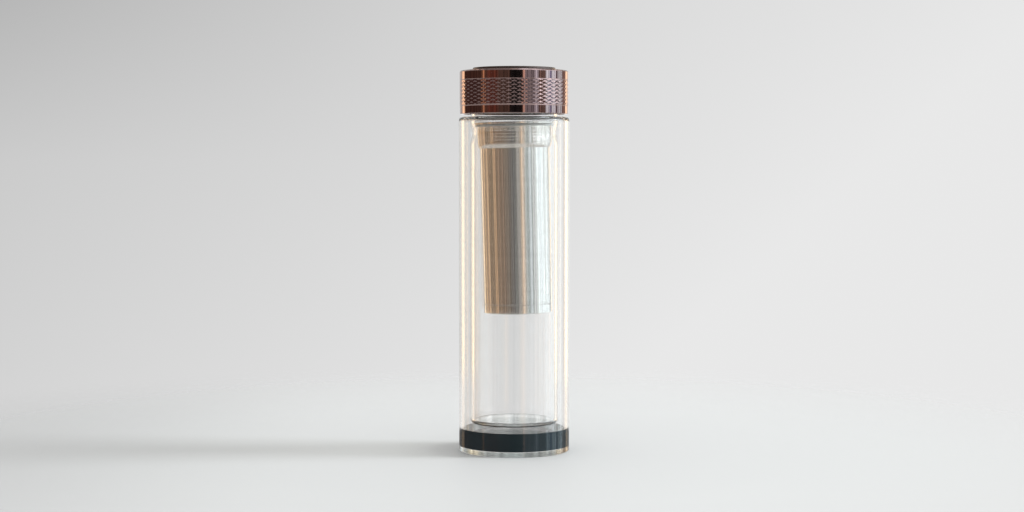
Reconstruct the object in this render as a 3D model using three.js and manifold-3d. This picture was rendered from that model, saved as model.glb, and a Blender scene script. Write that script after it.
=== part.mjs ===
// Tea infuser flask: a double-walled glass flask with a steel infuser and a knurled screw lid.
// Millimetres, +Z up. The flask stands on z = 0 with its axis on Z, and +X is to the right of its front.
import * as THREE from "three";
import { mergeVertices } from "three/addons/utils/BufferGeometryUtils.js";
import Module from "manifold-3d";

const wasm = await Module();
wasm.setup();

// Clearances
const fitGap = 0.3;
const threadGap = 0.5;
const flangeGap = 0.55;
const throatGap = 0.6;

// Outer jacket
const jacketDiameter = 67;
const jacketWall = 2.4;
const jacketHeight = 202.7;
const baseThickness = 2.8;
const footRadius = 0.9;
const shoulderRadius = 1.8;
const shoulderThickness = 1.5;

// Black insert above the base
const insertHeight = 11;
const insertChamfer = 0.4;

// Inner vessel
const vesselDiameter = 53.5;
const vesselWall = 2.2;
const vesselFloor = 2.6;
const vesselLift = 3.2;
const heelRadius = 2.8;
const neckHeight = 20.3;
const throatBelowShoulder = 10.1;
const throatDepth = 1.35;
const throatHalfHeight = 7.5;

// Thread between neck and lid
const threadStarts = 3;
const threadLead = 12;
const threadHeight = 1.45;
const threadRootWidth = 2.2;
const threadCrestWidth = 1;
const threadSpan = THREE.MathUtils.degToRad(110);
const threadBelowMouth = 10.6;

// Infuser
const infuserDepth = 114;
const infuserLean = THREE.MathUtils.degToRad(1.25);
const steelWall = 0.6;
const flangeThickness = 1.1;
const flangeChamfer = 0.2;
const seatThickness = 0.9;
const seatInset = 0.3;
const collarHeight = 14.5;
const collarTaperHeight = 2.5;
const collarWall = 1.1;
const collarLip = 0.15;
const ribCount = 5;
const ribDepth = 0.12;
const ribPitch = 2;
const cupTaper = 0.4;
const baseRingHeight = 5.2;
const baseRingWall = 0.5;
const baseRingLip = 1.8;
const filterThickness = 0.6;
const filterHole = 2;
const filterRows = 3;

// Lid
const lidSideWall = 2.1;
const lidAboveShoulder = 1.7;
const lidSkin = 1;
const lidEdgeChamfer = 0.8;
const lowerBandHeight = 5.6;
const upperBandHeight = 5.8;
const knurlColumns = 32;
const knurlHalfRows = 13;
const knurlDepth = 0.45;
const gasketThickness = 1.3;
const gasketLap = 0.15;
const linerRoof = 1.8;
const linerWall = 1.9;
const linerAboveRim = 1;
const padThickness = 1.5;
const topDiscDiameter = 50;
const topDiscThickness = 2.3;
const topDiscRecess = 0.8;
const topDiscChamfer = 0.3;

// Roundness of the turned shapes
const turnSegments = 44;
const holeSegments = 8;
const arcSteps = 4;
const throatSteps = 8;

// Radii and heights that follow from the sizes above
const jacketRadius = jacketDiameter / 2;
const jacketBore = jacketRadius - jacketWall;
const insertBottom = baseThickness + fitGap;
const insertTop = insertBottom + insertHeight;
const vesselRadius = vesselDiameter / 2;
const vesselBore = vesselRadius - vesselWall;
const vesselBottom = insertTop + vesselLift;
const mouthHeight = jacketHeight + neckHeight;
const throatHeight = jacketHeight - throatBelowShoulder;
const throatRadius = vesselBore - throatDepth;

const flangeRadius = vesselBore - flangeGap;
const seatRadius = flangeRadius - seatInset;
const collarRadius = throatRadius - throatGap;
const cupBore = collarRadius - collarWall - fitGap - steelWall;
const seatShare = (vesselBore - seatRadius - fitGap) / throatDepth;
const seatContact = throatHeight + (throatHalfHeight * Math.acos(2 * seatShare - 1)) / Math.PI;
const flangeHeight = seatContact + seatRadius * Math.sin(infuserLean) + seatThickness + fitGap;

const lidBottom = jacketHeight + lidAboveShoulder;
const gasketBottom = mouthHeight + fitGap;
const linerCeiling = gasketBottom + gasketThickness + fitGap;
const linerTop = linerCeiling + linerRoof;
const padBottom = linerTop + fitGap;
const skinCeiling = padBottom + padThickness + fitGap;
const recessFloor = skinCeiling + lidSkin;
const lidTop = recessFloor + topDiscRecess;
const threadCrest = vesselRadius + threadHeight;
const linerBore = threadCrest + threadGap;
const linerRadius = linerBore + linerWall;
const skinBore = linerRadius + fitGap;
const lidRadius = skinBore + lidSideWall;

// Points of an arc in a turned profile, from one angle to another in degrees.
function arc(r, z, radius, from, to) {
  const points = [];
  for (let i = 0; i <= arcSteps; i += 1) {
    const angle = THREE.MathUtils.degToRad(from + ((to - from) * i) / arcSteps);
    points.push([r + radius * Math.cos(angle), z + radius * Math.sin(angle)]);
  }
  return points;
}

function circle(x, y, radius, segments) {
  const points = [];
  for (let i = 0; i < segments; i += 1) {
    const angle = (2 * Math.PI * i) / segments;
    points.push(new THREE.Vector2(x + radius * Math.cos(angle), y + radius * Math.sin(angle)));
  }
  return points;
}

// A shape turned round Z from [radius, height] points that run anticlockwise.
function turned(points, segments = turnSegments) {
  const profile = points.map(([r, z]) => new THREE.Vector2(r, z));
  return new THREE.LatheGeometry(profile, segments).rotateX(Math.PI / 2);
}

// A ring's profile ends where it began.
function closed(points) {
  return [...points, points[0]];
}

function solidOf(geometry) {
  const bare = geometry.clone();
  bare.deleteAttribute("normal");
  bare.deleteAttribute("uv");
  const merged = mergeVertices(bare, 1e-3);
  return new wasm.Manifold(
    new wasm.Mesh({
      numProp: 3,
      vertProperties: merged.attributes.position.array,
      triVerts: new Uint32Array(merged.index.array),
    }),
  );
}

function geometryOf(solid) {
  const mesh = solid.getMesh();
  const geometry = new THREE.BufferGeometry();
  geometry.setAttribute("position", new THREE.BufferAttribute(mesh.vertProperties, 3));
  geometry.setIndex(new THREE.BufferAttribute(mesh.triVerts, 1));
  geometry.computeVertexNormals();
  return geometry;
}

// One start of the thread: a bar with sloping flanks, bent round Z and raised along the lead.
function threadRidge(rootRadius, crestRadius, startAngle, startHeight) {
  const ridge = new THREE.BoxGeometry(1, 1, 1, 14, 1, 1);
  const position = ridge.attributes.position;
  for (let i = 0; i < position.count; i += 1) {
    const along = position.getX(i) + 0.5;
    const across = position.getY(i) + 0.5;
    const inward = crestRadius < rootRadius;
    const crestward = inward ? 1 - across : across;
    const radius = THREE.MathUtils.lerp(rootRadius, crestRadius, crestward);
    const width = THREE.MathUtils.lerp(threadRootWidth, threadCrestWidth, crestward);
    const angle = startAngle + threadSpan * along;
    const height = startHeight + (threadLead * threadSpan * along) / (2 * Math.PI);
    const side = -position.getZ(i) * width;
    position.setXYZ(i, radius * Math.cos(angle), radius * Math.sin(angle), height + side);
  }
  return ridge;
}

function withThread(geometry, rootRadius, crestRadius, startHeight) {
  let solid = solidOf(geometry);
  for (let start = 0; start < threadStarts; start += 1) {
    const angle = (2 * Math.PI * start) / threadStarts;
    solid = solid.add(solidOf(threadRidge(rootRadius, crestRadius, angle, startHeight)));
  }
  return geometryOf(solid);
}

// Outer jacket, open at the shoulder where the vessel's neck passes.
function outerGlass() {
  const shoulderBore = vesselRadius + fitGap;
  const innerCorner = shoulderRadius - shoulderThickness / 2;
  const underside = jacketHeight - shoulderThickness;
  return turned([
    [0, 0],
    ...arc(jacketRadius - footRadius, footRadius, footRadius, -90, 0),
    ...arc(jacketRadius - shoulderRadius, jacketHeight - shoulderRadius, shoulderRadius, 0, 90),
    [shoulderBore, jacketHeight],
    [shoulderBore, underside],
    ...arc(jacketBore - innerCorner, underside - innerCorner, innerCorner, 90, 0),
    [jacketBore, baseThickness],
    [0, baseThickness],
  ]);
}

function baseInsert() {
  const radius = jacketBore - fitGap;
  return turned([
    [0, insertBottom],
    [radius - insertChamfer, insertBottom],
    [radius, insertBottom + insertChamfer],
    [radius, insertTop - insertChamfer],
    [radius - insertChamfer, insertTop],
    [0, insertTop],
  ]);
}

// How far the vessel's wall is drawn in at a height.
function drawnIn(z) {
  const share = Math.min(1, Math.abs(z - throatHeight) / throatHalfHeight);
  return (throatDepth * (1 + Math.cos(Math.PI * share))) / 2;
}

function innerGlass() {
  const rim = vesselWall / 2;
  const innerHeel = heelRadius - vesselWall;
  const throat = [];
  for (let i = 0; i <= throatSteps; i += 1) {
    throat.push(throatHeight + throatHalfHeight * ((2 * i) / throatSteps - 1));
  }
  const floor = vesselBottom + vesselFloor;
  const body = turned([
    [0, vesselBottom],
    ...arc(vesselRadius - heelRadius, vesselBottom + heelRadius, heelRadius, -90, 0),
    ...throat.map((z) => [vesselRadius - drawnIn(z), z]),
    ...arc(vesselRadius - rim, mouthHeight - rim, rim, 0, 180),
    ...throat.reverse().map((z) => [vesselBore - drawnIn(z), z]),
    ...arc(vesselBore - innerHeel, floor + innerHeel, innerHeel, 0, -90),
    [0, floor],
  ]);
  const sunk = vesselRadius - vesselWall / 2;
  return withThread(body, sunk, threadCrest, mouthHeight - threadBelowMouth);
}

// The infuser's pieces are drawn with the flange's underside at z = 0.
function infuserCup() {
  const radius = cupBore + steelWall;
  const foot = radius - cupTaper;
  const spigot = foot - baseRingWall - fitGap;
  const ringTop = baseRingHeight - infuserDepth;
  const stepTop = ringTop + fitGap;
  const end = filterThickness + 3 * fitGap + steelWall - infuserDepth;
  return turned(
    closed([
      [spigot - steelWall, end],
      [spigot, end],
      [spigot, stepTop],
      [foot, stepTop],
      [radius, -collarHeight],
      [radius, flangeThickness - fitGap],
      [cupBore, flangeThickness - fitGap],
      [cupBore, -collarHeight],
      [foot - steelWall, stepTop + steelWall],
      [spigot - steelWall, stepTop + steelWall],
    ]),
  );
}

function infuserCollar() {
  const bore = cupBore + steelWall + fitGap;
  const ribs = [];
  const ribBase = collarTaperHeight - collarHeight;
  for (let i = 0; i < ribCount; i += 1) {
    ribs.push([collarRadius - ribDepth, ribBase + i * ribPitch]);
    ribs.push([collarRadius, ribBase + (i + 1 / 2) * ribPitch]);
  }
  ribs.push([collarRadius - ribDepth, ribBase + ribCount * ribPitch]);
  return turned(
    closed([
      [bore, -collarHeight],
      [bore + collarLip, -collarHeight],
      ...ribs,
      [collarRadius - ribDepth, 0],
      [flangeRadius - flangeChamfer, 0],
      [flangeRadius, flangeChamfer],
      [flangeRadius, flangeThickness - flangeChamfer],
      [flangeRadius - flangeChamfer, flangeThickness],
      [bore, flangeThickness],
    ]),
  );
}

function infuserSeatRing() {
  const bore = collarRadius + fitGap;
  return turned(
    closed([
      [bore, -seatThickness - fitGap],
      [seatRadius, -seatThickness - fitGap],
      [seatRadius, -fitGap],
      [bore, -fitGap],
    ]),
  );
}

function infuserBaseRing() {
  const radius = cupBore + steelWall - cupTaper;
  const bore = radius - baseRingWall;
  const bottom = -infuserDepth;
  return turned(
    closed([
      [bore - baseRingLip, bottom],
      [radius - baseRingWall, bottom],
      [radius, bottom + baseRingWall],
      [radius, bottom + baseRingHeight],
      [bore, bottom + baseRingHeight],
      [bore, bottom + steelWall],
      [bore - baseRingLip, bottom + steelWall],
    ]),
  );
}

function infuserFilter() {
  const radius = cupBore + steelWall - cupTaper - baseRingWall - fitGap;
  const pitch = (radius - baseRingLip - filterHole) / filterRows;
  const disc = new THREE.Shape(circle(0, 0, radius, turnSegments));
  for (let row = 0; row <= filterRows; row += 1) {
    const holes = Math.max(1, 6 * row);
    for (let i = 0; i < holes; i += 1) {
      const angle = (2 * Math.PI * i) / holes;
      const x = row * pitch * Math.cos(angle);
      const y = row * pitch * Math.sin(angle);
      disc.holes.push(new THREE.Path(circle(x, y, filterHole / 2, holeSegments)));
    }
  }
  const settings = { depth: filterThickness, bevelEnabled: false };
  const plate = new THREE.ExtrudeGeometry(disc, settings);
  return plate.translate(0, 0, steelWall + fitGap - infuserDepth);
}

// The lid's skin, with diamonds pressed out in the knurled band.
function lidShell() {
  const knurlBottom = lidBottom + lowerBandHeight;
  const knurlTop = lidTop - upperBandHeight;
  const band = [];
  for (let row = 0; row <= knurlHalfRows; row += 1) {
    const z = THREE.MathUtils.lerp(knurlBottom, knurlTop, row / knurlHalfRows);
    band.push([lidRadius, z]);
  }
  const recess = topDiscDiameter / 2 + fitGap;
  const points = closed([
    [skinBore, lidBottom],
    [lidRadius, lidBottom],
    ...band,
    [lidRadius, lidTop - lidEdgeChamfer],
    [lidRadius - lidEdgeChamfer, lidTop],
    [recess, lidTop],
    [recess, recessFloor],
    [0, recessFloor],
    [0, skinCeiling],
    [skinBore, skinCeiling],
  ]);
  const columns = 2 * knurlColumns;
  const shell = turned(points, columns);
  const position = shell.attributes.position;
  const firstRow = 2;
  const lastRow = firstRow + knurlHalfRows;
  const valley = (lidRadius - knurlDepth) / lidRadius;
  for (let column = 0; column <= columns; column += 1) {
    for (let row = firstRow + 1; row < lastRow; row += 1) {
      const i = column * points.length + row;
      const scale = (column + row) % 2 ? valley : 1;
      position.setXYZ(i, position.getX(i) * scale, position.getY(i) * scale, position.getZ(i));
    }
  }
  // Each square of the band is split from valley to valley, so that four faces rise to each peak.
  for (let column = 0; column < columns; column += 1) {
    for (let row = firstRow; row < lastRow; row += 1) {
      if ((column + row) % 2) {
        const corner = column * points.length + row;
        const next = corner + points.length;
        const at = 6 * (column * (points.length - 1) + row);
        shell.index.array.set([corner, next, next + 1, next + 1, corner + 1, corner], at);
      }
    }
  }
  return shell;
}

function lidTopDisc() {
  const radius = topDiscDiameter / 2;
  const bottom = recessFloor + fitGap;
  const top = bottom + topDiscThickness;
  return turned([
    [0, bottom],
    [radius, bottom],
    [radius, top - topDiscChamfer],
    [radius - topDiscChamfer, top],
    [0, top],
  ]);
}

function lidPad() {
  const radius = skinBore - fitGap;
  return turned([
    [0, padBottom],
    [radius, padBottom],
    [radius, padBottom + padThickness],
    [0, padBottom + padThickness],
  ]);
}

function lidLiner() {
  const bottom = lidBottom + linerAboveRim;
  const liner = turned([
    [0, linerCeiling],
    [linerBore, linerCeiling],
    [linerBore, bottom],
    [linerRadius, bottom],
    [linerRadius, linerTop],
    [0, linerTop],
  ]);
  const crest = vesselRadius + threadGap;
  const sunk = linerBore + linerWall / 2;
  const startHeight = mouthHeight - threadBelowMouth - threadLead / threadStarts / 2;
  return withThread(liner, sunk, crest, startHeight);
}

function lidGasket() {
  const top = gasketBottom + gasketThickness;
  return turned(
    closed([
      [vesselBore - gasketLap, gasketBottom],
      [linerBore - fitGap, gasketBottom],
      [linerBore - fitGap, top],
      [vesselBore - gasketLap, top],
    ]),
  );
}

const clearGlass = { color: 0xe9f0ec, roughness: 0.03, metalness: 0, transparent: true, opacity: 0.35 };
const blackPlastic = { color: 0x24292b, roughness: 0.2, metalness: 0 };
const steel = { color: 0xb9b4ad, roughness: 0.25, metalness: 1 };
const plating = { color: 0x6d4a42, roughness: 0.12, metalness: 1 };
const silicone = { color: 0xdadcd8, roughness: 0.5, metalness: 0 };
const linerPlastic = { color: 0xe0e0db, roughness: 0.45, metalness: 0 };
const foam = { color: 0xe4e2dc, roughness: 0.9, metalness: 0 };

function piece(name, geometry, look) {
  const mesh = new THREE.Mesh(geometry, new THREE.MeshStandardMaterial(look));
  mesh.name = name;
  return mesh;
}

const flask = new THREE.Group();
flask.name = "flask";
flask.add(
  piece("outer_glass", outerGlass(), clearGlass),
  piece("base_insert", baseInsert(), blackPlastic),
  piece("inner_glass", innerGlass(), clearGlass),
);

// The infuser hangs a little crooked in the throat, its foot towards +X.
const infuser = new THREE.Group();
infuser.name = "infuser";
infuser.position.z = flangeHeight;
infuser.rotation.y = -infuserLean;
infuser.add(
  piece("infuser_cup", infuserCup(), steel),
  piece("infuser_collar", infuserCollar(), steel),
  piece("infuser_seat_ring", infuserSeatRing(), silicone),
  piece("infuser_filter", infuserFilter(), steel),
  piece("infuser_base_ring", infuserBaseRing(), steel),
);

const lid = new THREE.Group();
lid.name = "lid";
lid.add(
  piece("lid_shell", lidShell(), plating),
  piece("lid_top_disc", lidTopDisc(), plating),
  piece("lid_pad", lidPad(), foam),
  piece("lid_liner", lidLiner(), linerPlastic),
  piece("lid_gasket", lidGasket(), silicone),
);

const part = new THREE.Group();
part.name = "tea_infuser_flask";
part.add(flask, infuser, lid);

export default part;
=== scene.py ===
import math

import bmesh
import bpy
from mathutils import Matrix, Vector


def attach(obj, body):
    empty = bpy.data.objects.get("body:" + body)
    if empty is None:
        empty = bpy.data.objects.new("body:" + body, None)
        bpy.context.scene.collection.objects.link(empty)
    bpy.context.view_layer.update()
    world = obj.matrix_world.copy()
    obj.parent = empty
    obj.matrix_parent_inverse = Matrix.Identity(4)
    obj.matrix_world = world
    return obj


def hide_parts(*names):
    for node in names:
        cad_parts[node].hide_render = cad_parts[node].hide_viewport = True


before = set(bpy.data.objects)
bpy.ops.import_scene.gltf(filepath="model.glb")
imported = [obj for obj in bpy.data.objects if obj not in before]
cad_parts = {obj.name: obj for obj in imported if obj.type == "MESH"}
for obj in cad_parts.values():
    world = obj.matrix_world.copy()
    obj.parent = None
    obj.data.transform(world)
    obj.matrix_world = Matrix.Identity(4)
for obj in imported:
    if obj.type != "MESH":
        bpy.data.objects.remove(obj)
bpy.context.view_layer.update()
scene = bpy.context.scene
print("frame loaded with", len(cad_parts), "nodes")

mm = 0.001  # sizes below are in millimetres
weld = 1e-6
ringGap = 20
sharpAngle = 40


# mesh helpers

# an arc with a short straight lead at each end, which keeps the shading of the flats beside it even
def arc(r, z, radius, start, end, steps=8, lead=0.05):
    turn = [math.radians(start + (end - start) * i / steps) for i in range(steps + 1)]
    points = [(r + radius * math.cos(a), z + radius * math.sin(a)) for a in turn]
    if lead:
        along = lead if end > start else -lead
        (r0, z0), (r1, z1) = points[0], points[-1]
        points.insert(0, (r0 + along * math.sin(turn[0]), z0 - along * math.cos(turn[0])))
        points.append((r1 - along * math.sin(turn[-1]), z1 + along * math.cos(turn[-1])))
    return points


# rings along a tall wall, going up or down
def wallRings(radius, first, last):
    return [(radius, z) for z in range(first, last, ringGap if last > first else -ringGap)]


# section of a soft ring with rounded edges
def ringSection(ring, low, high):
    inner, outer, steps = ring["inner"], ring["outer"], ring["outerSteps"]
    points = arc(ring["bore"] + inner, low + inner, inner, 180, 270, 4)
    points += arc(ring["radius"] - outer, low + outer, outer, -90, 0, steps)
    points += arc(ring["radius"] - outer, high - outer, outer, 0, 90, steps)
    return points + arc(ring["bore"] + inner, high - inner, inner, 90, 180, 4)


def spinProfile(points, steps=160, ring=False):
    bm = bmesh.new()
    verts = [bm.verts.new((r * mm, 0, z * mm)) for r, z in points]
    edges = [bm.edges.new(pair) for pair in zip(verts, verts[1:])]
    if ring:
        edges.append(bm.edges.new((verts[-1], verts[0])))
    bmesh.ops.spin(bm, geom=verts + edges, cent=(0, 0, 0), axis=(0, 0, 1), dvec=(0, 0, 0),
                   angle=math.tau, steps=steps, use_merge=True, use_duplicate=False)
    bmesh.ops.remove_doubles(bm, verts=bm.verts, dist=weld)
    bmesh.ops.recalc_face_normals(bm, faces=bm.faces)
    return bm


def makePiece(name, bm, body, nodes, material, sharp=sharpAngle):
    mesh = bpy.data.meshes.new(name)
    bm.to_mesh(mesh)
    bm.free()
    mesh.shade_smooth()
    mesh.set_sharp_from_angle(angle=math.radians(sharp))
    mesh.materials.append(material)
    piece = bpy.data.objects.new(name, mesh)
    scene.collection.objects.link(piece)
    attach(piece, body)
    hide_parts(*nodes)
    print("made", name, "with", len(mesh.polygons), "faces")
    return piece


# shader helpers

# a socket takes a link or a plain value
def feed(tree, socket, value):
    if isinstance(value, bpy.types.NodeSocket):
        tree.links.new(value, socket)
    else:
        socket.default_value = value


def newMaterial(name):
    material = bpy.data.materials.new(name)
    material.use_nodes = True
    return material, material.node_tree, material.node_tree.nodes["Principled BSDF"]


def newGroup(name, inputs, outputs):
    group = bpy.data.node_groups.new(name, "ShaderNodeTree")
    for label, kind, value in inputs:
        socket = group.interface.new_socket(name=label, in_out="INPUT", socket_type=kind)
        if value is not None:
            socket.default_value = value
    for label, kind in outputs:
        group.interface.new_socket(name=label, in_out="OUTPUT", socket_type=kind)
    return group, group.nodes.new("NodeGroupInput"), group.nodes.new("NodeGroupOutput")


def placeGroup(tree, group, values):
    node = tree.nodes.new("ShaderNodeGroup")
    node.node_tree = group
    coords = tree.nodes.new("ShaderNodeTexCoord")
    tree.links.new(coords.outputs["Object"], node.inputs["Vector"])
    for label, value in values.items():
        node.inputs[label].default_value = value
    return node


def mathNode(tree, operation, *values):
    node = tree.nodes.new("ShaderNodeMath")
    node.operation = operation
    for socket, value in zip(node.inputs, values):
        feed(tree, socket, value)
    return node.outputs["Value"]


def mapNode(tree, source, given, wanted):
    node = tree.nodes.new("ShaderNodeMapRange")
    for label, value in zip(("From Min", "From Max", "To Min", "To Max"), (*given, *wanted)):
        feed(tree, node.inputs[label], value)
    feed(tree, node.inputs["Value"], source)
    return node.outputs["Result"]


# a soft step from nothing at start to most at end
def bendNode(tree, source, start, end, most):
    result = mapNode(tree, source, (start, end), (0, most))
    result.node.interpolation_type = "SMOOTHSTEP"
    return result


def noiseNode(tree, place, scale, detail, dimensions="3D"):
    node = tree.nodes.new("ShaderNodeTexNoise")
    node.noise_dimensions = dimensions
    feed(tree, node.inputs["W" if dimensions == "1D" else "Vector"], place)
    feed(tree, node.inputs["Scale"], scale)
    feed(tree, node.inputs["Detail"], detail)
    return node.outputs["Fac"]


def mixNode(tree, factor, first, second, blend="MIX"):
    node = tree.nodes.new("ShaderNodeMix")
    node.data_type = "RGBA"
    node.blend_type = blend
    for label, value in (("Factor", factor), ("A", first), ("B", second)):
        feed(tree, node.inputs[label], value)
    return node.outputs["Result"]


def mixShader(tree, factor, first, second):
    node = tree.nodes.new("ShaderNodeMixShader")
    for socket, value in zip(node.inputs, (factor, first, second)):
        feed(tree, socket, value)
    return node.outputs["Shader"]


def addTint(tree, shader, share, dark, light):
    tree.links.new(mixNode(tree, share, (*dark, 1), (*light, 1)), shader.inputs["Base Color"])


def addBump(tree, shader, height, strength, distance):
    bump = tree.nodes.new("ShaderNodeBump")
    bump.inputs["Strength"].default_value = strength
    bump.inputs["Distance"].default_value = distance
    tree.links.new(height, bump.inputs["Height"])
    tree.links.new(bump.outputs["Normal"], shader.inputs["Normal"])


# handled surface: soft smudges in the gloss, with a fine grain
smudge = {"patchDetail": 4, "grainDetail": 2, "spread": (0.35, 0.7)}


def smudgeGroup():
    group, given, result = newGroup(
        "handledSurface",
        [("Vector", "NodeSocketVector", None), ("Patch Scale", "NodeSocketFloat", 60.0),
         ("Grain Scale", "NodeSocketFloat", 1500.0), ("Roughness Low", "NodeSocketFloat", 0.05),
         ("Roughness High", "NodeSocketFloat", 0.12)],
        [("Roughness", "NodeSocketFloat"), ("Patches", "NodeSocketFloat"), ("Grain", "NodeSocketFloat")])
    place = given.outputs["Vector"]
    patches = noiseNode(group, place, given.outputs["Patch Scale"], smudge["patchDetail"])
    grain = noiseNode(group, place, given.outputs["Grain Scale"], smudge["grainDetail"])
    rough = mapNode(group, patches, smudge["spread"],
                    (given.outputs["Roughness Low"], given.outputs["Roughness High"]))
    for label, value in (("Roughness", rough), ("Patches", patches), ("Grain", grain)):
        group.links.new(value, result.inputs[label])
    return group


# turned finish: fine rings round the axis, of uneven depth
turned = {"ringScale": 1, "ringDetail": 3, "streakScale": 0.12, "streakDetail": 2}


def turnedGroup():
    group, given, result = newGroup(
        "turnedFinish",
        [("Vector", "NodeSocketVector", None), ("Ring Scale", "NodeSocketFloat", 2600.0),
         ("Round Scale", "NodeSocketFloat", 14.0)],
        [("Rings", "NodeSocketFloat"), ("Streaks", "NodeSocketFloat")])
    split = group.nodes.new("ShaderNodeSeparateXYZ")
    joined = group.nodes.new("ShaderNodeCombineXYZ")
    group.links.new(given.outputs["Vector"], split.inputs["Vector"])
    for axis, scale in (("X", "Round Scale"), ("Y", "Round Scale"), ("Z", "Ring Scale")):
        along = mathNode(group, "MULTIPLY", split.outputs[axis], given.outputs[scale])
        group.links.new(along, joined.inputs[axis])
    place = joined.outputs["Vector"]
    rings = noiseNode(group, place, turned["ringScale"], turned["ringDetail"])
    streaks = noiseNode(group, place, turned["streakScale"], turned["streakDetail"])
    group.links.new(rings, result.inputs["Rings"])
    group.links.new(streaks, result.inputs["Streaks"])
    return group


handledSurface = smudgeGroup()
turnedFinish = turnedGroup()


# clear glass: smooth, faintly wavy from drawing, green in the thick parts, with a softly ground foot; the
# foot colour is painted shade that darkens it
glassLook = {"tint": (1.0, 1.0, 1.0), "foot": (0.57, 0.575, 0.58), "ior": 1.47, "green": (0.74, 0.81, 0.79),
             "shadow": (0.9, 0.9, 0.89), "footLow": 2.6, "footHigh": 3.4, "ground": 0.13,
             "low": 0.0, "high": 0.012, "grain": 400, "wave": 0.003, "waveDepth": 0.0004}


def glassMaterial(name, waveScale, density):
    look = glassLook
    material, tree, shader = newMaterial(name)
    nodes, links = tree.nodes, tree.links
    output = nodes["Material Output"]
    coords = nodes.new("ShaderNodeTexCoord")
    split = nodes.new("ShaderNodeSeparateXYZ")
    links.new(coords.outputs["Object"], split.inputs["Vector"])
    footLow, footHigh = look["footLow"] * mm, look["footHigh"] * mm
    # painted shade: below the top of the foot the glass colour darkens to the foot tint, standing in for the
    # little light that reaches the foot
    aboveShadedFoot = bendNode(tree, split.outputs["Z"], footLow, footHigh, 1)
    addTint(tree, shader, aboveShadedFoot, look["foot"], look["tint"])
    shader.inputs["Transmission Weight"].default_value = 1
    shader.inputs["IOR"].default_value = look["ior"]
    finish = placeGroup(tree, handledSurface, {
        "Patch Scale": waveScale, "Grain Scale": look["grain"],
        "Roughness Low": look["low"], "Roughness High": look["high"]})
    ground = bendNode(tree, split.outputs["Z"], footHigh, footLow, look["ground"])
    rough = mathNode(tree, "MAXIMUM", finish.outputs["Roughness"], ground)
    links.new(rough, shader.inputs["Roughness"])
    addBump(tree, shader, finish.outputs["Patches"], look["wave"], look["waveDepth"])
    # lamps reach what is behind the glass
    path = nodes.new("ShaderNodeLightPath")
    clear = nodes.new("ShaderNodeBsdfTransparent")
    clear.inputs["Color"].default_value = (*look["shadow"], 1)
    surface = mixShader(tree, path.outputs["Is Shadow Ray"], shader.outputs["BSDF"], clear.outputs["BSDF"])
    links.new(surface, output.inputs["Surface"])
    body = nodes.new("ShaderNodeVolumeAbsorption")
    body.inputs["Color"].default_value = (*look["green"], 1)
    body.inputs["Density"].default_value = density
    links.new(body.outputs["Volume"], output.inputs["Volume"])
    return material


# brown mirror plating, and the satin disc in the top of the lid
platingLook = {"dark": (0.36, 0.26, 0.247), "light": (0.4, 0.29, 0.275), "low": 0.04, "high": 0.09,
               "patch": 45, "grain": 2500, "bump": 0.04, "bumpDepth": 0.00005}
satinLook = {**platingLook, "dark": (0.13, 0.105, 0.095), "light": (0.17, 0.14, 0.125),
             "low": 0.36, "high": 0.46}


def platingMaterial(name, look):
    material, tree, shader = newMaterial(name)
    shader.inputs["Metallic"].default_value = 1
    finish = placeGroup(tree, handledSurface, {
        "Patch Scale": look["patch"], "Grain Scale": look["grain"],
        "Roughness Low": look["low"], "Roughness High": look["high"]})
    addTint(tree, shader, finish.outputs["Patches"], look["dark"], look["light"])
    tree.links.new(finish.outputs["Roughness"], shader.inputs["Roughness"])
    addBump(tree, shader, finish.outputs["Grain"], look["bump"], look["bumpDepth"])
    return material


# infuser steel, turned on a lathe, and satin inside the cup
steelLook = {"dark": (0.56, 0.54, 0.515), "light": (0.68, 0.665, 0.645), "rings": 2600, "bump": 0.05,
             "bumpDepth": 0.0001, "spread": (0.3, 0.7), "rough": (0.05, 0.1)}
collarLook = {**steelLook, "dark": (0.51, 0.475, 0.44), "light": (0.62, 0.59, 0.555),
              "rings": 1500, "bump": 0.04}
filterLook = {**steelLook, "rings": 400}
insideLook = {**steelLook, "rough": (0.5, 0.6)}


def steelMaterial(name, look):
    material, tree, shader = newMaterial(name)
    shader.inputs["Metallic"].default_value = 1
    finish = placeGroup(tree, turnedFinish, {"Ring Scale": look["rings"]})
    addTint(tree, shader, finish.outputs["Streaks"], look["dark"], look["light"])
    rough = mapNode(tree, finish.outputs["Rings"], look["spread"], look["rough"])
    tree.links.new(rough, shader.inputs["Roughness"])
    addBump(tree, shader, finish.outputs["Rings"], look["bump"], look["bumpDepth"])
    return material


# plastics and soft rings
plasticLook = {"patch": 80, "grain": 1800, "gloss": 0.5, "through": 0.0, "radius": (0.002, 0.002, 0.002),
               "bumpDepth": 0.00008}
glossLook = {**plasticLook, "dark": (0.008, 0.011, 0.012), "light": (0.012, 0.015, 0.016),
             "low": 0.04, "high": 0.08, "bump": 0.004, "gloss": 0.8}
cementedLook = {**plasticLook, "dark": (0.036, 0.053, 0.061), "light": (0.042, 0.06, 0.068),
                "low": 0.4, "high": 0.5, "bump": 0.004, "gloss": 0.0}
linerLook = {**plasticLook, "dark": (0.66, 0.66, 0.63), "light": (0.72, 0.72, 0.69),
             "low": 0.3, "high": 0.45, "bump": 0.1, "through": 0.3}
sealLook = {**plasticLook, "dark": (0.66, 0.67, 0.65), "light": (0.76, 0.77, 0.75),
            "low": 0.35, "high": 0.5, "bump": 0.12, "through": 0.5}
foamLook = {**plasticLook, "dark": (0.7, 0.69, 0.65), "light": (0.8, 0.79, 0.75),
            "low": 0.8, "high": 0.95, "bump": 0.5}


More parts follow.
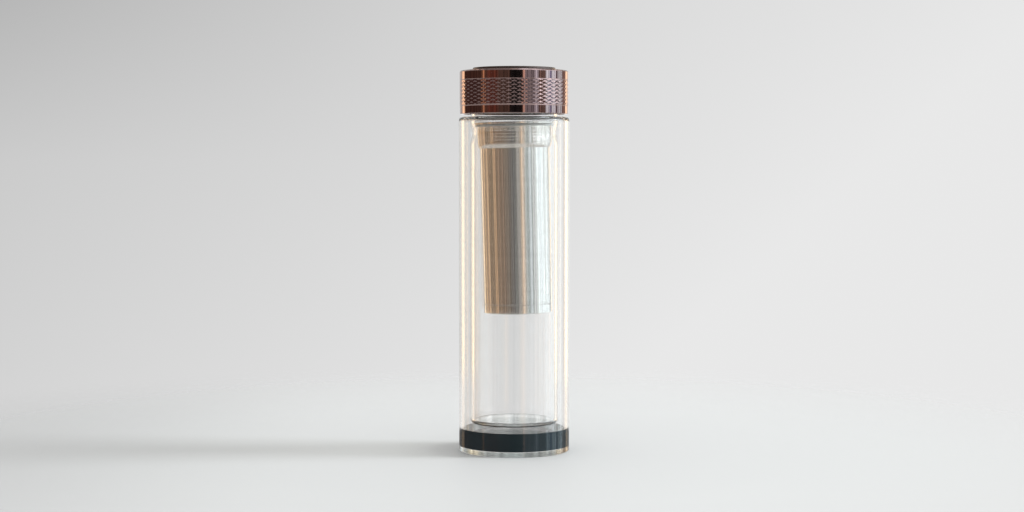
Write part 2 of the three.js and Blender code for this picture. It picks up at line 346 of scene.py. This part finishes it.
def plasticMaterial(name, look):
    material, tree, shader = newMaterial(name)
    finish = placeGroup(tree, handledSurface, {
        "Patch Scale": look["patch"], "Grain Scale": look["grain"],
        "Roughness Low": look["low"], "Roughness High": look["high"]})
    addTint(tree, shader, finish.outputs["Patches"], look["dark"], look["light"])
    tree.links.new(finish.outputs["Roughness"], shader.inputs["Roughness"])
    shader.inputs["Specular IOR Level"].default_value = look["gloss"]
    shader.inputs["Subsurface Weight"].default_value = look["through"]
    shader.inputs["Subsurface Radius"].default_value = look["radius"]
    addBump(tree, shader, finish.outputs["Grain"], look["bump"], look["bumpDepth"])
    return material


jacketGlass = glassMaterial("jacketGlass", waveScale=22, density=12)
vesselGlass = glassMaterial("vesselGlass", waveScale=26, density=4)
brownPlating = platingMaterial("brownPlating", platingLook)
satinBronze = platingMaterial("satinBronze", satinLook)
turnedSteel = steelMaterial("turnedSteel", steelLook)
collarSteel = steelMaterial("collarSteel", collarLook)
filterSteel = steelMaterial("filterSteel", filterLook)
satinSteel = steelMaterial("satinSteel", insideLook)
blackGloss = plasticMaterial("blackGloss", glossLook)
blackCemented = plasticMaterial("blackCemented", cementedLook)
linerWhite = plasticMaterial("linerWhite", linerLook)
sealWhite = plasticMaterial("sealWhite", sealLook)
padFoam = plasticMaterial("padFoam", foamLook)
print("materials ready")


# outer glass, with its thick base and turned-in shoulder
jacket = {"radius": 33.5, "wall": 2.4, "height": 202.7, "base": 2.8, "foot": 0.6, "shoulder": 1.8,
          "plate": 1.5, "bore": 27.05, "lip": 0.5, "corner": 0.6, "steps": 192}


def makeJacket():
    j = jacket
    inside = j["radius"] - j["wall"]
    under = j["height"] - j["plate"]
    inner = j["shoulder"] - j["plate"] / 2
    points = [(0, 0), (j["radius"] / 2, 0)]
    points += arc(j["radius"] - j["foot"], j["foot"], j["foot"], -90, 0)
    points += wallRings(j["radius"], 20, 200)
    points += arc(j["radius"] - j["shoulder"], j["height"] - j["shoulder"], j["shoulder"], 0, 90, 10)
    points += arc(j["bore"] + j["lip"], j["height"] - j["lip"], j["lip"], 90, 180, 4)
    points += arc(j["bore"] + j["lip"], under + j["lip"], j["lip"], 180, 270, 4)
    points += arc(inside - inner, under - inner, inner, 90, 0)
    points += wallRings(inside, 180, 10)
    points += arc(inside - j["corner"], j["base"] + j["corner"], j["corner"], 0, -90, 5)
    points += [(0, j["base"])]
    bm = spinProfile(points, j["steps"])
    return makePiece("outerGlass", bm, "flask", ["outer_glass"], jacketGlass)


# black disc cemented into the foot of the jacket, so it is a hair larger than its bore
insert = {"radius": 31.15, "bottom": 3.1, "top": 14.1, "edge": 0.25, "flat": 0.7}


def makeInsert():
    i = insert
    points = [(0, i["bottom"])]
    points += arc(i["radius"] - i["edge"], i["bottom"] + i["edge"], i["edge"], -90, 0, 5)
    points += arc(i["radius"] - i["edge"], i["top"] - i["edge"], i["edge"], 0, 90, 5)
    points += [(0, i["top"])]
    bm = spinProfile(points)
    piece = makePiece("baseInsert", bm, "flask", ["base_insert"], blackCemented)
    # only its side is cemented
    piece.data.materials.append(blackGloss)
    for face in piece.data.polygons:
        face.material_index = 1 if abs(face.normal.z) > i["flat"] else 0
    return piece


# inner glass, with the throat that carries the infuser and the threaded neck
vessel = {"radius": 26.75, "wall": 2.2, "bottom": 17.0, "floor": 19.1, "heel": 2.8, "mouth": 223.0,
          "throat": 192.6, "depth": 1.35, "half": 7.5, "halfSteps": 14, "bottomRing": 10.7, "steps": 176}
thread = {"starts": 3, "lead": 12.0, "height": 1.45, "root": 2.2, "crest": 1.0, "span": 110.0,
          "below": 10.6, "steps": 28}


def drawnIn(z):
    share = min(1, abs(z - vessel["throat"]) / vessel["half"])
    return vessel["depth"] * (1 + math.cos(math.pi * share)) / 2


# each start of the thread is a section swept round the axis and up its lead
def addThread(bm, rootRadius, crestRadius, height):
    t = thread
    rise = t["lead"] * t["span"] / 360
    section = [(rootRadius, -t["root"] / 2), (crestRadius, -t["crest"] / 2),
               (crestRadius, t["crest"] / 2), (rootRadius, t["root"] / 2)]
    for start in range(t["starts"]):
        turn = Matrix.Rotation(math.tau * start / t["starts"], 4, "Z")
        verts = [bm.verts.new(turn @ Vector((r * mm, 0, (height + z) * mm))) for r, z in section]
        bmesh.ops.spin(bm, geom=[bm.faces.new(verts)], cent=(0, 0, 0), axis=(0, 0, 1),
                       dvec=(0, 0, rise * mm / t["steps"]), angle=math.radians(t["span"]), steps=t["steps"],
                       use_duplicate=False)


def joinThread(piece, rootRadius, crestRadius, height):
    bm = bmesh.new()
    addThread(bm, rootRadius, crestRadius, height)
    bmesh.ops.remove_doubles(bm, verts=bm.verts, dist=weld)
    bmesh.ops.recalc_face_normals(bm, faces=bm.faces)
    mesh = bpy.data.meshes.new("threadRidges")
    bm.to_mesh(mesh)
    bm.free()
    ridges = bpy.data.objects.new("threadRidges", mesh)
    scene.collection.objects.link(ridges)
    union = piece.modifiers.new("thread", "BOOLEAN")
    union.operation = "UNION"
    union.solver = "EXACT"
    union.object = ridges
    evaluated = piece.evaluated_get(bpy.context.evaluated_depsgraph_get())
    joined = bpy.data.meshes.new_from_object(evaluated)
    piece.modifiers.clear()
    old = piece.data
    piece.data = joined
    bpy.data.meshes.remove(old)
    bpy.data.objects.remove(ridges)
    joined.shade_smooth()
    joined.set_sharp_from_angle(angle=math.radians(sharpAngle))
    print("thread joined to", piece.name, "with", len(joined.polygons), "faces")


def makeVessel():
    v = vessel
    rim = v["wall"] / 2
    bore = v["radius"] - v["wall"]
    inner = v["heel"] - v["wall"]
    throat = [v["throat"] + v["half"] * (i / v["halfSteps"] - 1) for i in range(2 * v["halfSteps"] + 1)]
    points = [(0, v["bottom"]), (v["bottomRing"], v["bottom"])]
    points += arc(v["radius"] - v["heel"], v["bottom"] + v["heel"], v["heel"], -90, 0, 12)
    points += wallRings(v["radius"], 40, 180)
    points += [(v["radius"] - drawnIn(z), z) for z in throat]
    points += arc(v["radius"] - rim, v["mouth"] - rim, rim, 0, 180, 12)
    points += [(bore - drawnIn(z), z) for z in reversed(throat)]
    points += wallRings(bore, 160, 30)
    points += arc(bore - inner, v["floor"] + inner, inner, 0, -90, 10)
    points += [(0, v["floor"])]
    bm = spinProfile(points, v["steps"])
    piece = makePiece("innerGlass", bm, "flask", ["inner_glass"], vesselGlass)
    joinThread(piece, v["radius"] - rim, v["radius"] + thread["height"], v["mouth"] - thread["below"])
    return piece


# infuser, drawn with the underside of its flange at z = 0, then hung in the throat
hang = {"height": 198.512, "lean": 1.25}
hung = (Matrix.Translation((0, 0, hang["height"] * mm))
        @ Matrix.Rotation(math.radians(-hang["lean"]), 4, "Y"))


def hangPiece(name, bm, nodes, material, sharp=sharpAngle):
    bmesh.ops.transform(bm, matrix=hung, verts=bm.verts)
    return makePiece(name, bm, "infuser", nodes, material, sharp)


cup = {"radius": 21.2, "foot": 20.8, "spigot": 20.0, "spigotEnd": 2.1, "wall": 0.6, "depth": 114.0,
       "band": 5.2, "gap": 0.3, "edge": 0.25, "top": 0.8, "taperFrom": -14.5, "taperSteps": 8}


def makeCup():
    c = cup
    step = c["band"] - c["depth"] + c["gap"]
    end = c["spigotEnd"] - c["depth"]
    spigotBore = c["spigot"] - c["wall"]
    points = [(spigotBore, end), (c["spigot"], end), (c["spigot"], step)]
    points += arc(c["foot"] - c["edge"], step + c["edge"], c["edge"], -90, 0, 4)
    for i in range(1, c["taperSteps"] + 1):
        share = i / c["taperSteps"]
        radius = c["foot"] + (c["radius"] - c["foot"]) * share
        points.append((radius, step + (c["taperFrom"] - step) * share))
    points += [(c["radius"], c["top"]), (c["radius"] - c["wall"], c["top"])]
    points += [(c["radius"] - c["wall"], c["taperFrom"]), (c["foot"] - c["wall"], step + c["wall"]),
               (spigotBore, step + c["wall"])]
    bm = spinProfile(points, ring=True)
    piece = hangPiece("infuserCup", bm, ["infuser_cup"], turnedSteel)
    # satin inside
    piece.data.materials.append(satinSteel)
    for face in piece.data.polygons:
        face.material_index = 1 if face.center.xy.dot(face.normal.xy) < 0 else 0
    return piece


collar = {"bore": 21.5, "crest": 22.6, "ribDepth": 0.06, "groove": 0.6, "ribs": 5, "pitch": 2.0,
          "taper": 2.5, "height": 14.5, "flange": 24.0, "flangeThick": 1.1, "edge": 0.2, "foot": 21.65,
          "tuck": 0.25, "across": (-1.25, -1, -0.5, 0, 0.5, 1, 1.25), "curve": 1.5, "sharp": 50}


def makeCollar():
    c = collar
    base = c["taper"] - c["height"]
    points = [(c["bore"], -c["height"]), (c["foot"], -c["height"])]
    for i in range(c["ribs"] + 1):
        for across in c["across"]:
            cut = c["ribDepth"] * max(0, 1 - abs(across) ** c["curve"])
            points.append((c["crest"] - cut, base + c["pitch"] * i + c["groove"] * across / 2))
    points += [(c["crest"] - c["ribDepth"], -c["tuck"])]
    points += arc(c["flange"] - c["edge"], c["edge"], c["edge"], -90, 0, 4)
    points += arc(c["flange"] - c["edge"], c["flangeThick"] - c["edge"], c["edge"], 0, 90, 4)
    points += [(c["bore"], c["flangeThick"])]
    bm = spinProfile(points, ring=True)
    return hangPiece("infuserCollar", bm, ["infuser_collar"], collarSteel, c["sharp"])


seat = {"bore": 22.9, "radius": 23.7, "thick": 0.9, "gap": 0.3, "inner": 0.2, "outer": 0.35,
        "outerSteps": 5, "steps": 128}


def makeSeat():
    points = ringSection(seat, -seat["thick"] - seat["gap"], -seat["gap"])
    bm = spinProfile(points, seat["steps"], ring=True)
    return hangPiece("infuserSeatRing", bm, ["infuser_seat_ring"], sealWhite)


footRing = {"radius": 20.8, "bore": 20.3, "lip": 1.8, "wall": 0.6, "round": 0.5, "edge": 0.2}


def makeFootRing():
    f = footRing
    low, high = -cup["depth"], cup["band"] - cup["depth"]
    points = [(f["bore"] - f["lip"], low)]
    points += arc(f["radius"] - f["round"], low + f["round"], f["round"], -90, 0, 6)
    points += arc(f["radius"] - f["edge"], high - f["edge"], f["edge"], 0, 90, 4)
    points += [(f["bore"], high), (f["bore"], low + f["wall"]), (f["bore"] - f["lip"], low + f["wall"])]
    bm = spinProfile(points, ring=True)
    return hangPiece("infuserFootRing", bm, ["infuser_base_ring"], turnedSteel)


# lid skin, with its knurled grip
shell = {"radius": 33.0, "bore": 30.9, "bottom": 204.4, "top": 230.6, "chamfer": 0.8, "edge": 0.3,
         "flat": 0.1, "mouthEdge": 0.3, "rimEdge": 0.35, "band": 32.85, "bead": 0.3, "beadTurn": 60,
         "groove": 0.4, "gripLow": 209.4, "gripHigh": 225.0, "overGrip": (0.05, 0.12), "columns": 32,
         "halfRows": 14, "depth": 0.13, "fade": 0.3, "fadeFrom": 0.2, "stepsPerRow": 8, "stepsPerColumn": 16,
         "recess": 25.3, "recessFloor": 229.8, "recessEdge": 0.2, "ceiling": 228.8, "sharp": 30}


def knurlHeight(turn, z):
    s = shell
    across = turn / math.tau * s["columns"]
    up = (z - s["gripLow"]) / (s["gripHigh"] - s["gripLow"]) * s["halfRows"] / 2
    slants = [slant - round(slant) for slant in (across + up, across - up)]
    rise = 1 - 2 * sum(slant * slant for slant in slants)
    fromLow = (z - s["gripLow"] - s["fadeFrom"]) / s["fade"]
    fromHigh = (s["gripHigh"] - z) / s["fade"]
    return rise * min(1, max(0, fromLow), fromHigh)


def makeShell():
    s = shell
    shoulder = s["chamfer"] + s["flat"]
    bandSteps = s["halfRows"] * s["stepsPerRow"]
    points = arc(s["bore"] + s["mouthEdge"], s["bottom"] + s["mouthEdge"], s["mouthEdge"], 180, 270, 3)
    points += arc(s["band"] - s["rimEdge"], s["bottom"] + s["rimEdge"], s["rimEdge"], -90, 0, 4)
    points += [(s["band"], s["gripLow"] - s["groove"])]
    points += arc(s["radius"] - s["bead"], s["gripLow"], s["bead"], -s["beadTurn"], s["beadTurn"], 6, 0)
    for i in range(bandSteps):
        z = s["gripLow"] + (s["gripHigh"] - s["gripLow"]) * (i + 0.5) / bandSteps
        points.append((s["radius"] - s["depth"], z))
    points += [(s["radius"], s["gripHigh"] + over) for over in s["overGrip"]]
    points += arc(s["radius"] - s["edge"], s["top"] - shoulder, s["edge"], 0, 45, 3)
    points += arc(s["radius"] - shoulder, s["top"] - s["edge"], s["edge"], 45, 90, 3)
    points += arc(s["recess"] + s["recessEdge"], s["top"] - s["recessEdge"], s["recessEdge"], 90, 180, 3)
    points += [(s["recess"], s["recessFloor"]), (0, s["recessFloor"])]
    points += [(0, s["ceiling"]), (s["bore"], s["ceiling"])]
    bm = spinProfile(points, s["columns"] * s["stepsPerColumn"], ring=True)
    for vert in bm.verts:
        z = vert.co.z / mm
        if s["gripLow"] < z < s["gripHigh"]:
            radius = math.hypot(vert.co.x, vert.co.y) / mm
            lift = s["depth"] * knurlHeight(math.atan2(vert.co.x, -vert.co.y), z)
            vert.co.xy *= (radius + lift) / radius
    return makePiece("lidShell", bm, "lid", ["lid_shell"], brownPlating, s["sharp"])


disc = {"radius": 25.0, "bottom": 230.1, "top": 232.4, "edge": 0.4, "underEdge": 0.2}


def makeDisc():
    d = disc
    points = [(0, d["bottom"])]
    points += arc(d["radius"] - d["underEdge"], d["bottom"] + d["underEdge"], d["underEdge"], -90, 0, 3)
    points += arc(d["radius"] - d["edge"], d["top"] - d["edge"], d["edge"], 0, 90, 6)
    points += [(d["radius"] / 2, d["top"]), (0, d["top"])]
    bm = spinProfile(points)
    return makePiece("lidTopDisc", bm, "lid", ["lid_top_disc"], satinBronze)


# plastic liner with the lid's own thread
liner = {"radius": 30.6, "bore": 28.7, "bottom": 205.4, "ceiling": 224.9, "top": 226.7, "crest": 27.25,
         "edge": 0.4, "boreEdge": 0.5, "steps": 144}


def makeLiner():
    n = liner
    points = [(0, n["ceiling"]), (n["bore"] - n["edge"], n["ceiling"])]
    points += [(n["bore"], n["ceiling"] - n["edge"])]
    points += arc(n["bore"] + n["boreEdge"], n["bottom"] + n["boreEdge"], n["boreEdge"], 180, 270, 4)
    points += arc(n["radius"] - n["edge"], n["bottom"] + n["edge"], n["edge"], -90, 0, 4)
    points += [(n["radius"], n["top"]), (0, n["top"])]
    bm = spinProfile(points, n["steps"])
    piece = makePiece("lidLiner", bm, "lid", ["lid_liner"], linerWhite)
    pitch = thread["lead"] / thread["starts"]
    height = vessel["mouth"] - thread["below"] - pitch / 2
    joinThread(piece, (n["bore"] + n["radius"]) / 2, n["crest"], height)
    return piece


gasket = {"bore": 24.4, "radius": 28.4, "bottom": 223.3, "top": 224.6, "inner": 0.25, "outer": 0.25,
          "outerSteps": 4, "steps": 128}


def makeGasket():
    points = ringSection(gasket, gasket["bottom"], gasket["top"])
    bm = spinProfile(points, gasket["steps"], ring=True)
    return makePiece("lidGasket", bm, "lid_seal", ["lid_gasket"], sealWhite)


makeJacket()
makeInsert()
makeVessel()
makeCup()
makeCollar()
makeSeat()
makeFootRing()
makeShell()
makeDisc()
makeLiner()
makeGasket()
for node, material in (("infuser_filter", filterSteel), ("lid_pad", padFoam)):
    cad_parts[node].data.materials.clear()
    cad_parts[node].data.materials.append(material)
print("pieces ready")


# pale floor that fades into the background, with painted shade that makes it greyer on the left and dimmer
# on the right
floor = {"radius": 0.8, "segments": 96, "fadeFrom": 0.18, "fadeTo": 0.5, "pale": (0.822, 0.83, 0.83),
         "shadedGrey": (0.53, 0.54, 0.54), "shadedGreyAt": -0.46, "paleAt": -0.1, "dimFrom": 0.06, "dimTo": 0.4,
         "dim": 0.26, "grain": 220, "grainDetail": 2, "rough": (0.5, 0.65), "gloss": 0.3}


def floorMaterial():
    f = floor
    material, tree, shader = newMaterial("paleFloor")
    nodes, links = tree.nodes, tree.links
    place = nodes.new("ShaderNodeTexCoord").outputs["Object"]
    split = nodes.new("ShaderNodeSeparateXYZ")
    links.new(place, split.inputs["Vector"])
    # painted shade: the floor colour greys towards the left and dims towards the right, standing in for the
    # fall of the window's light across it
    unshaded = bendNode(tree, split.outputs["X"], f["shadedGreyAt"], f["paleAt"], 1)
    paintedDimming = bendNode(tree, split.outputs["X"], f["dimFrom"], f["dimTo"], f["dim"])
    addTint(tree, shader, mathNode(tree, "SUBTRACT", unshaded, paintedDimming), f["shadedGrey"], f["pale"])
    grain = noiseNode(tree, place, f["grain"], f["grainDetail"])
    links.new(mapNode(tree, grain, (0, 1), f["rough"]), shader.inputs["Roughness"])
    shader.inputs["Specular IOR Level"].default_value = f["gloss"]
    length = nodes.new("ShaderNodeVectorMath")
    length.operation = "LENGTH"
    links.new(place, length.inputs[0])
    fade = bendNode(tree, length.outputs["Value"], f["fadeFrom"], f["fadeTo"], 1)
    clear = nodes.new("ShaderNodeBsdfTransparent")
    surface = mixShader(tree, fade, shader.outputs["BSDF"], clear.outputs["BSDF"])
    links.new(surface, nodes["Material Output"].inputs["Surface"])
    return material


def makeFloor():
    bm = bmesh.new()
    bmesh.ops.create_circle(bm, cap_ends=True, segments=floor["segments"], radius=floor["radius"])
    mesh = bpy.data.meshes.new("floor")
    bm.to_mesh(mesh)
    bm.free()
    mesh.materials.append(floorMaterial())
    piece = bpy.data.objects.new("floor", mesh)
    piece.visible_glossy = False  # polished sides and the glass see the room below it instead
    piece.visible_transmission = False
    scene.collection.objects.link(piece)


# pale backdrop, darker upwards and to the left, with a lit wall far to the left that the glass edges show
backdrop = {"level": 0.722, "sideways": 0.47, "upwards": -0.5, "corner": 4.0, "least": 0.45, "most": 0.81,
            "aside": (-0.3, -0.6, 0.85)}


def backdropLevel(tree, x, z):
    b = backdrop
    side = mathNode(tree, "MULTIPLY_ADD", x, b["sideways"], b["level"])
    tall = mathNode(tree, "MULTIPLY_ADD", z, b["upwards"], side)
    left = mathNode(tree, "MINIMUM", x, 0)
    above = mathNode(tree, "MAXIMUM", z, 0)
    corner = mathNode(tree, "MULTIPLY_ADD", mathNode(tree, "MULTIPLY", left, above), b["corner"], tall)
    level = mathNode(tree, "MINIMUM", mathNode(tree, "MAXIMUM", corner, b["least"]), b["most"])
    return mathNode(tree, "MAXIMUM", level, bendNode(tree, x, *b["aside"]))


# the room that polished surfaces see: bands by compass angle from the front, and soft steps by height
# (high, below, low) or from back to front (ahead, back), each with its start, end and most
room = {"bandStrength": 2.5, "glow": (0.69, 0.69, 0.68), "veil": 0.5, "shade": (0.04, 0.03, 0.03),
        "table": (0.95, 0.96, 0.93), "pale": (0.86, 0.85, 0.83), "high": (0.065, 0.13, 0.85),
        "below": (0.045, 0.018, 0.32), "low": (-0.18, -0.34, 0.9), "ahead": (-0.6, 0.1, 1),
        "back": (-0.5, -0.7, 1)}
ledges = [("pale", (-0.104, -0.124, 0.75), (-0.144, -0.141, 1)),
          ("shade", (-0.1395, -0.1425, 0.7), (-0.1525, -0.1495, 1))]
streak = {"scale": 110, "detail": 3, "spread": (0.34, 0.66), "gain": (0.4, 1.6)}
roomBands = [
    (-180, (0.78, 0.78, 0.77)), (-145, (0.62, 0.58, 0.55)), (-141, (2.2, 1.6, 1.05)),
    (-131, (2.2, 1.55, 1.0)), (-128, (0.09, 0.045, 0.035)), (-73, (0.1, 0.055, 0.04)),
    (-68, (0.95, 0.5, 0.27)), (-63, (0.16, 0.09, 0.065)), (-54, (0.21, 0.072, 0.045)),
    (-37, (0.21, 0.072, 0.045)), (-33, (0.15, 0.095, 0.07)), (-10, (0.13, 0.085, 0.065)),
    (-7, (0.012, 0.012, 0.012)), (17, (0.012, 0.012, 0.012)), (20, (1.6, 1.05, 0.8)),
    (23.5, (0.38, 0.37, 0.4)), (43, (0.38, 0.37, 0.41)), (46, (0.85, 0.92, 1.05)),
    (51, (0.85, 0.92, 1.05)), (54, (0.28, 0.2, 0.17)), (69, (0.3, 0.22, 0.19)), (72, (1.4, 1.7, 1.9)),
    (79, (1.4, 1.7, 1.9)), (81, (0.35, 0.38, 0.62)), (85, (0.35, 0.38, 0.62)), (87, (1.4, 1.7, 1.9)),
    (97, (1.35, 1.6, 1.8)), (99, (0.22, 0.16, 0.19)), (103, (0.22, 0.16, 0.19)),
    (105, (1.0, 1.15, 1.25)), (119, (0.95, 1.1, 1.2)), (123, (0.3, 0.22, 0.2)),
    (137, (0.45, 0.3, 0.24)), (140, (2.2, 1.7, 1.2)), (150, (2.2, 1.7, 1.2)), (154, (0.72, 0.69, 0.67)),
    (160, (1.1, 1.08, 1.05)), (171, (1.05, 1.04, 1.02)), (180, (0.78, 0.78, 0.77))]
# above eye level: a dull wall, lighter at the back, and the upper panes of the window
highBands = [
    (-180, (0.58, 0.6, 0.59)), (-152, (0.58, 0.6, 0.59)), (-128, (0.36, 0.34, 0.34)),
    (-40, (0.36, 0.34, 0.34)), (-10, (0.45, 0.43, 0.43)), (45, (0.45, 0.43, 0.43)),
    (56, (2.1, 2.2, 2.35)), (112, (2.1, 2.2, 2.35)), (128, (0.4, 0.38, 0.38)), (152, (0.58, 0.6, 0.59)),
    (180, (0.58, 0.6, 0.59))]
# the same room through the glass walls, blurred by them
veiledBands = [
    (-180, (0.68, 0.72, 0.72)), (-150, (0.8, 0.76, 0.7)), (-138, (1.9, 1.6, 1.2)),
    (-128, (0.5, 0.36, 0.28)), (-119, (2.3, 1.6, 0.95)), (-112, (0.5, 0.37, 0.29)),
    (-103, (2.1, 1.45, 0.9)), (-95, (0.63, 0.49, 0.35)), (-77, (0.63, 0.5, 0.355)),
    (-72, (2.1, 1.45, 0.9)), (-66, (0.63, 0.5, 0.355)), (-24, (0.56, 0.485, 0.4)),
    (-14, (0.42, 0.42, 0.41)), (-7, (0.44, 0.44, 0.43)), (12, (0.95, 0.92, 0.87)),
    (19, (1.75, 1.42, 1.05)), (27, (1.4, 1.25, 1.05)), (33, (1.0, 1.16, 1.13)), (52, (1.3, 1.43, 1.45)),
    (72, (2.3, 2.5, 2.5)), (110, (2.2, 2.4, 2.4)), (130, (1.25, 1.35, 1.36)), (139, (1.6, 1.4, 1.05)),
    (150, (1.45, 1.25, 0.95)), (158, (0.75, 0.75, 0.73)), (180, (0.68, 0.72, 0.72))]


# colours go in scaled down, and the strength of the room's light makes up for it
def scaled(colour):
    return (*[c / room["bandStrength"] for c in colour], 1)


# a ramp for each half of the room, left and right
def bandRamp(tree, share, bands):
    halves = []
    for side in (-1, 1):
        ramp = tree.nodes.new("ShaderNodeValToRGB")
        tree.links.new(share, ramp.inputs["Fac"])
        stops = ramp.color_ramp.elements
        half = [band for band in bands if band[0] * side > 0]
        while len(stops) < len(half):
            stops.new(0.5)
        for stop, (degrees, colour) in zip(stops, half):
            stop.position = degrees / 360 + 0.5
            stop.color = scaled(colour)
        halves.append(ramp.outputs["Color"])
    return mixNode(tree, mathNode(tree, "GREATER_THAN", share, 0.5), *halves)


def roomColour(tree, path, x, y, z):
    front = mathNode(tree, "MULTIPLY", y, -1)
    angle = mathNode(tree, "ARCTAN2", x, front)
    share = mathNode(tree, "MULTIPLY_ADD", angle, 1 / math.tau, 0.5)
    # the walls, the wall above them and the shaded edge of the table in front
    walls = bandRamp(tree, share, roomBands)
    seen = mixNode(tree, bendNode(tree, z, *room["high"]), walls, bandRamp(tree, share, highBands))
    below, ahead = bendNode(tree, z, *room["below"]), bendNode(tree, front, *room["ahead"])
    seen = mixNode(tree, mathNode(tree, "MULTIPLY", below, ahead), seen, scaled(room["shade"]))
    behindGlass = mathNode(tree, "MINIMUM", path.outputs["Transmission Depth"], room["veil"])
    seen = mixNode(tree, behindGlass, seen, bandRamp(tree, share, veiledBands))
    # at the back, a pale strip and a dark ledge above the table
    back = bendNode(tree, front, *room["back"])
    for tone, start, end in ledges:
        within = mathNode(tree, "MULTIPLY", bendNode(tree, z, *start), bendNode(tree, z, *end))
        seen = mixNode(tree, mathNode(tree, "MULTIPLY", within, back), seen, scaled(room[tone]))
    # narrow uneven streaks break up all but the top of the table
    streaks = noiseNode(tree, share, streak["scale"], streak["detail"], "1D")
    seen = mixNode(tree, 1, seen, mapNode(tree, streaks, streak["spread"], streak["gain"]), "MULTIPLY")
    return mixNode(tree, bendNode(tree, z, *room["low"]), seen, scaled(room["table"]))


def makeRoom():
    world = bpy.data.worlds.new("room")
    scene.world = world
    world.use_nodes = True
    world.cycles.sampling_method = "NONE"
    tree = world.node_tree
    nodes, links = tree.nodes, tree.links
    coords = nodes.new("ShaderNodeTexCoord")
    split = nodes.new("ShaderNodeSeparateXYZ")
    links.new(coords.outputs["Generated"], split.inputs["Vector"])
    x, y, z = split.outputs
    path = nodes.new("ShaderNodeLightPath")
    plain = nodes["Background"]
    links.new(backdropLevel(tree, x, z), plain.inputs["Color"])
    glow = nodes.new("ShaderNodeBackground")
    glow.inputs["Color"].default_value = (*room["glow"], 1)
    seen = nodes.new("ShaderNodeBackground")
    seen.inputs["Strength"].default_value = room["bandStrength"]
    links.new(roomColour(tree, path, x, y, z), seen.inputs["Color"])
    # the camera sees the backdrop, dull surfaces an even glow and mirrors the room
    dull = path.outputs["Is Diffuse Ray"]
    mirrored = mathNode(tree, "GREATER_THAN", path.outputs["Glossy Depth"], 0.5)
    lit = mixShader(tree, dull, plain.outputs["Background"], glow.outputs["Background"])
    surface = mixShader(tree, mirrored, lit, seen.outputs["Background"])
    links.new(surface, nodes["World Output"].inputs["Surface"])


# soft window light from the right
window = {"place": (2.6, 0.0, 1.15), "aim": (0, 0, 0.1), "width": 0.8, "height": 1.6, "watts": 70.0,
          "colour": (0.95, 0.985, 1.0)}


def makeWindow():
    lamp = bpy.data.lights.new("window", "AREA")
    lamp.shape = "RECTANGLE"
    lamp.size = window["width"]
    lamp.size_y = window["height"]
    lamp.energy = window["watts"]
    lamp.color = window["colour"]
    piece = bpy.data.objects.new("window", lamp)
    piece.location = window["place"]
    piece.rotation_euler = (Vector(window["aim"]) - piece.location).to_track_quat("-Z", "Y").to_euler()
    piece.visible_camera = False
    piece.visible_glossy = False
    piece.visible_transmission = False
    scene.collection.objects.link(piece)


# camera where the photographer stood
view = {"place": (-0.00129, -1.1458, 0.17596), "pitch": 2.874, "lens": 66.34, "sensor": 36}


def makeCamera():
    data = bpy.data.cameras.new("camera")
    data.sensor_width = view["sensor"]
    data.sensor_fit = "HORIZONTAL"
    data.lens = view["lens"]
    camera = bpy.data.objects.new("camera", data)
    camera.location = view["place"]
    camera.rotation_euler = (math.radians(90 - view["pitch"]), 0, 0)
    scene.collection.objects.link(camera)
    scene.camera = camera


makeFloor()
makeRoom()
makeWindow()
makeCamera()
bounces = 32  # enough for two glass walls, in and out
scene.view_settings.view_transform = "Standard"
scene.cycles.max_bounces = bounces
scene.cycles.transmission_bounces = bounces
scene.cycles.transparent_max_bounces = bounces
print("stage ready")
